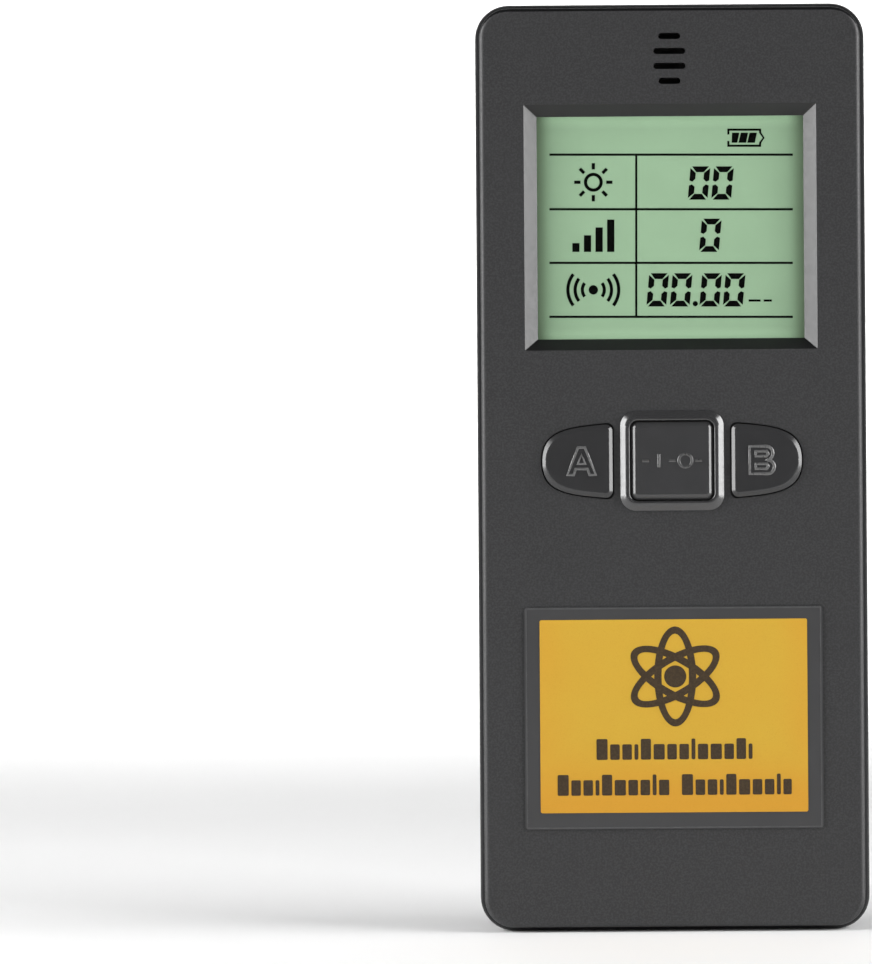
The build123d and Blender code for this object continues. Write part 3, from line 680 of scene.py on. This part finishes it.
def display_battery():
    """Battery sign: an outline open on its left, a tip, and three slanted bars."""
    x, z = 11.75 * MM, DISPLAY_Z + 14.2 * MM
    half_w, half_h, line = 2.7 * MM, 1.45 * MM, 0.34 * MM
    parts = [bar(x, z + half_h - line / 2, 2 * half_w, line), bar(x, z - half_h + line / 2, 2 * half_w, line)]
    stub = 0.95 * MM
    for side in (1, -1):
        parts.append(bar(x - half_w + line / 2, z + side * (half_h - stub / 2), line, stub))
        parts.append(bar(x + half_w - line / 2, z + side * (half_h - 0.35 * MM), line, 0.7 * MM))
        tip = [(x + half_w - line, z + side * 0.78 * MM), (x + half_w, z + side * 0.85 * MM),
               (x + half_w + 0.55 * MM, z), (x + half_w + 0.25 * MM, z)]
        parts.append(tip)
    for index in range(3):
        left = x + (1.4 * index - 2.0) * MM
        lean = 0.32 * MM
        parts.append([(left - lean * (index > 0), z - 0.8 * MM), (left + 0.9 * MM, z - 0.8 * MM),
                      (left + 1.22 * MM, z + 0.8 * MM), (left + 0.06 * MM, z + 0.8 * MM)])
    return parts


def display_signs():
    """Signs for the three rows: a sun, rising steps, and waves round a dot."""
    x = -12.3 * MM
    line = 0.52 * MM
    parts = []
    z = DISPLAY_Z + 7.1 * MM
    parts += ring_pieces(x, z, 1.25 * MM, 1.25 * MM, line, steps=28)
    for index in range(8):
        turn = math.radians(45 * index)
        inner, outer, half = 2.05 * MM, 3.05 * MM, line / 2
        cosine, sine = math.cos(turn), math.sin(turn)
        corners = ((inner, -half), (outer, -half), (outer, half), (inner, half))
        parts.append([(x + a * cosine - b * sine, z + a * sine + b * cosine) for a, b in corners])
    z = DISPLAY_Z - 1.45 * MM
    for index in range(4):
        height = (1.4 + 1.25 * index) * MM
        parts.append(bar(x + (index - 1.5) * 1.85 * MM, z - 2.55 * MM + height / 2, 1.15 * MM, height))
    z = DISPLAY_Z - 10.05 * MM
    parts.append(disc(x, z, 0.75 * MM, 20))
    for index in range(3):
        radius = (1.75 + 1.15 * index) * MM
        for start in (-38, 142):
            parts += ring_pieces(x, z, radius, radius, line, 0.0, start, 76, 12)
    return parts


def display_unit():
    """Small plain mark where a reading's unit goes."""
    z = DISPLAY_Z - 11.75 * MM
    return [bar(13.4 * MM, z, 1.9 * MM, 0.34 * MM), bar(15.5 * MM, z, 1.3 * MM, 0.34 * MM)]


def settle(outline):
    """Moves an outline to where the display sits in the case: a touch high and turned a little."""
    cosine, sine = math.cos(DISPLAY_TURN), math.sin(DISPLAY_TURN)
    turned = []
    for x, z in outline:
        up = z - DISPLAY_Z
        turned.append((x * cosine - up * sine, DISPLAY_Z + DISPLAY_RISE + x * sine + up * cosine))
    return turned


INK = display_ink()
INK_FRONT = GLASS_BOX[0].y - INK_THICKNESS
for piece_name, outlines in (("lcd_grid_lines", display_grid()), ("lcd_digits", display_digits()),
                             ("lcd_battery_sign", display_battery()), ("lcd_row_signs", display_signs()),
                             ("lcd_unit_mark", display_unit())):
    settled = [settle(outline) for outline in outlines]
    flat_piece(piece_name, settled, INK_FRONT, INK)


# ------------------------------------------------------------------ label print


def orbit(x, z, turn):
    """One tall orbit of the atom sign, turned about the middle."""
    return ring_pieces(x, z, 7.35 * MM, 2.75 * MM, 1.15 * MM, math.radians(turn), steps=72)


def word_blocks():
    """Two lines of blank word blocks, in place of lettering."""
    pattern = (1.75, 1.5, 1.5, 0.6, 1.6)
    rows = ((28.55, ((-12.3, 12.5),)), (22.9, ((-18.5, -0.5), (1.2, 18.6))))
    parts = []
    for foot, words in rows:
        for left, right in words:
            edge, index = left, 0
            while right - edge > 0.5:
                width = min(pattern[index % len(pattern)], right - edge)
                tall = 3.3 if index % 4 == 0 else 2.45
                x, z = edge + width / 2, foot - 1.15 + tall / 2
                parts.append(bar(x * MM, z * MM, width * MM, tall * MM, 0.22 * MM))
                edge += width + 0.42
                index += 1
    return parts


def label_edge_line():
    """Thin lighter line just inside the edge of the label."""
    low, high = PLATE_BOX
    inset, line = 0.22 * MM, 0.20 * MM
    width, height = high.x - low.x - 2 * inset, high.z - low.z - 2 * inset
    x, z = (low.x + high.x) / 2, (low.z + high.z) / 2
    sides = [bar(x, z + side * height / 2, width, line) for side in (-1, 1)]
    return sides + [bar(x + side * (width - line) / 2, z, line, height - line) for side in (-1, 1)]


BROWN = label_ink()
# Lighter grey line laid along the label's edge.
EDGE_LINE_GREY = plain_part("label_edge_line_grey", srgb(74, 74, 75), 0.45)
PRINT_Y = PRINT_BOX[0].y - INK_THICKNESS
PLATE_Y = PLATE_BOX[0].y - INK_THICKNESS
SIGN_X, SIGN_Z = 0.25 * MM, 40.55 * MM
for index, turn in enumerate((90.0, 30.0, 150.0)):
    orbit_y = PRINT_Y - ORBIT_STEP * index
    flat_piece("label_orbit_%d" % (index + 1), orbit(SIGN_X, SIGN_Z, turn), orbit_y, BROWN)
flat_piece("label_nucleus", [disc(SIGN_X, SIGN_Z, 1.75 * MM)], PRINT_Y, BROWN)
flat_piece("label_word_blocks", word_blocks(), PRINT_Y, BROWN)
flat_piece("label_edge_line", label_edge_line(), PLATE_Y, EDGE_LINE_GREY)


# ------------------------------------------------------------------ raised legends on the keys


def raised_line(name, loops, front, radius, material, body):
    """Raised moulded lines: round beads sunk in a key's face, along closed or open paths."""
    curve = bpy.data.curves.new(name, "CURVE")
    curve.dimensions = "3D"
    curve.bevel_depth = radius
    curve.bevel_resolution = 3
    curve.use_fill_caps = True
    depth = max(front + 0.25 * radius, LOW.y + radius + 0.005 * MM)
    for points, closed in loops:
        spline = curve.splines.new("POLY")
        spline.points.add(len(points) - 1)
        for point, (x, z) in zip(spline.points, points):
            point.co = (x, depth, z, 1.0)
        spline.use_cyclic_u = closed
    show(name, curve, material, body)


def letter_a(x, z, height):
    """Outline of a plain capital A with its counter."""
    half, foot, stroke = 0.52 * height, -height / 2, 0.21 * height
    outer = [(-half, foot), (-half + 1.1 * stroke, foot), (-0.42 * half, foot + 0.22 * height),
             (0.42 * half, foot + 0.22 * height), (half - 1.1 * stroke, foot), (half, foot),
             (0.24 * half, -foot), (-0.24 * half, -foot)]
    counter = [(-0.27 * half, foot + 0.40 * height), (0.27 * half, foot + 0.40 * height),
               (0.0, foot + 0.74 * height)]
    return [([(x + px, z + pz) for px, pz in loop], True) for loop in (outer, counter)]


def letter_b(x, z, height):
    """Outline of a plain capital B with its two counters."""
    left, foot, top = -0.44 * height, -height / 2, height / 2
    outer = [(left, foot)]
    for centre, radius, reach in ((-0.25 * height, 0.25 * height, 0.22 * height),
                                  (0.25 * height, 0.25 * height, 0.17 * height)):
        for step in range(9):
            angle = math.radians(-90 + 22.5 * step)
            outer.append((reach + radius * math.cos(angle) * 0.95, centre + radius * math.sin(angle)))
    outer.append((left, top))
    loops = [outer]
    for centre in (-0.23 * height, 0.23 * height):
        loops.append([(left + 0.22 * height, centre - 0.09 * height), (0.18 * height, centre - 0.09 * height),
                      (0.24 * height, centre), (0.18 * height, centre + 0.09 * height),
                      (left + 0.22 * height, centre + 0.09 * height)])
    return [([(x + px, z + pz) for px, pz in loop], True) for loop in loops]


def power_marks(x, z, height):
    """International on and off marks between dashes: a dash, a bar, a dash, a ring and a dash."""
    half = height / 2
    ring = [math.radians(turn) for turn in range(0, 360, 15)]
    circle = [(x + 2.1 * MM + half * math.cos(turn), z + half * math.sin(turn)) for turn in ring]
    paths = [(circle, True), ([(x - 2.1 * MM, z - half), (x - 2.1 * MM, z + half)], False)]
    for middle in (-4.2, 0.0, 4.2):
        paths.append(([(x + (middle - 0.55) * MM, z), (x + (middle + 0.55) * MM, z)], False))
    return paths


LETTER_HEIGHT = 4.35 * MM
LETTER_BEAD = 0.33 * MM
MARK_HEIGHT = 2.1 * MM
MARK_BEAD = 0.32 * MM
LETTER_A = letter_a(-14.35 * MM, KEY_ROW_Z, LETTER_HEIGHT)
LETTER_B = letter_b(14.2 * MM, KEY_ROW_Z, LETTER_HEIGHT)
MARKS = power_marks(0.0, KEY_ROW_Z, MARK_HEIGHT)
raised_line("key_a_letter", LETTER_A, KEY_A_BOX[0].y, LETTER_BEAD, LETTER_PAINTED_HIGHLIGHT, "key_a_body")
raised_line("key_b_letter", LETTER_B, KEY_B_BOX[0].y, LETTER_BEAD, LETTER_PAINTED_HIGHLIGHT, "key_b_body")
raised_line("key_power_marks", MARKS, POWER_BOX[0].y, MARK_BEAD, MARK_PAINTED_HIGHLIGHT, "key_power_body")


# ------------------------------------------------------------------ studio


def studio_floor():
    """White paper floor that curves up into a backdrop."""
    half, front, back, radius, top = 9.0, -9.0, 1.2, 0.5, 2.4
    profile = [(front, 0.0), (back - radius, 0.0)]
    for step in range(1, 13):
        angle = math.radians(90 * step / 12)
        profile.append((back - radius + radius * math.sin(angle), radius - radius * math.cos(angle)))
    profile.append((back, top))
    mesh = bpy.data.meshes.new("studio_floor")
    vertices = [(side * half, y, z + LOW.z) for y, z in profile for side in (-1, 1)]
    faces = [(2 * i, 2 * i + 1, 2 * i + 3, 2 * i + 2) for i in range(len(profile) - 1)]
    mesh.from_pydata(vertices, [], faces)
    mesh.shade_smooth()
    mesh.materials.append(floor_paper())
    floor = bpy.data.objects.new("studio_floor", mesh)
    bpy.context.scene.collection.objects.link(floor)


def soft_light(name, place, target, size, power):
    """Rectangular softbox that faces a point."""
    light = bpy.data.lights.new(name, "AREA")
    light.shape = "RECTANGLE"
    light.size, light.size_y = size
    light.energy = power
    lamp = bpy.data.objects.new(name, light)
    lamp.location = place
    lamp.rotation_mode = "QUATERNION"
    lamp.rotation_quaternion = (Vector(target) - Vector(place)).to_track_quat("-Z", "Y")
    lamp.visible_camera = False
    bpy.context.scene.collection.objects.link(lamp)
    return lamp


def studio_lights():
    """Tall softboxes on both sides and a wash on the backdrop."""
    middle = (0.0, 0.0, HEIGHT / 2)
    for side, name in ((-1, "left"), (1, "right")):
        soft_light("softbox_" + name, (side * 0.55, -0.15, HEIGHT / 2 + 0.05), middle, (0.44, 0.75), 8.4)
    wash = soft_light("backdrop_wash", (-0.1, 0.30, 0.95), (-0.1, 1.2, 0.25), (0.5, 0.3), 7.0)
    wash.data.spread = math.radians(110)


def studio_world():
    """Even dim surroundings, so that the dark plastic keeps its contrast."""
    world = bpy.data.worlds.new("studio")
    world.use_nodes = True
    background = world.node_tree.nodes["Background"]
    background.inputs["Color"].default_value = (1.0, 1.0, 1.0, 1.0)
    background.inputs["Strength"].default_value = 0.12
    bpy.context.scene.world = world
    bpy.context.scene.view_settings.view_transform = "Standard"


def studio_camera():
    """Long lens square to the front, framed as in the picture."""
    camera = bpy.data.cameras.new("front_camera")
    camera.sensor_fit = "AUTO"
    camera.sensor_width = SENSOR
    camera.lens = LENS
    view_height = HEIGHT / OBJECT_SHARE
    distance = view_height * LENS / SENSOR
    camera.shift_x = -OBJECT_RIGHT
    camera.shift_y = -OBJECT_UP
    camera.clip_start = 0.01
    camera.clip_end = 20.0
    holder = bpy.data.objects.new("front_camera", camera)
    holder.location = (0.0, LOW.y - distance, HEIGHT / 2)
    holder.rotation_euler = (math.radians(90), ROLL, 0.0)
    bpy.context.scene.collection.objects.link(holder)
    bpy.context.scene.camera = holder


studio_floor()
studio_lights()
studio_world()
studio_camera()
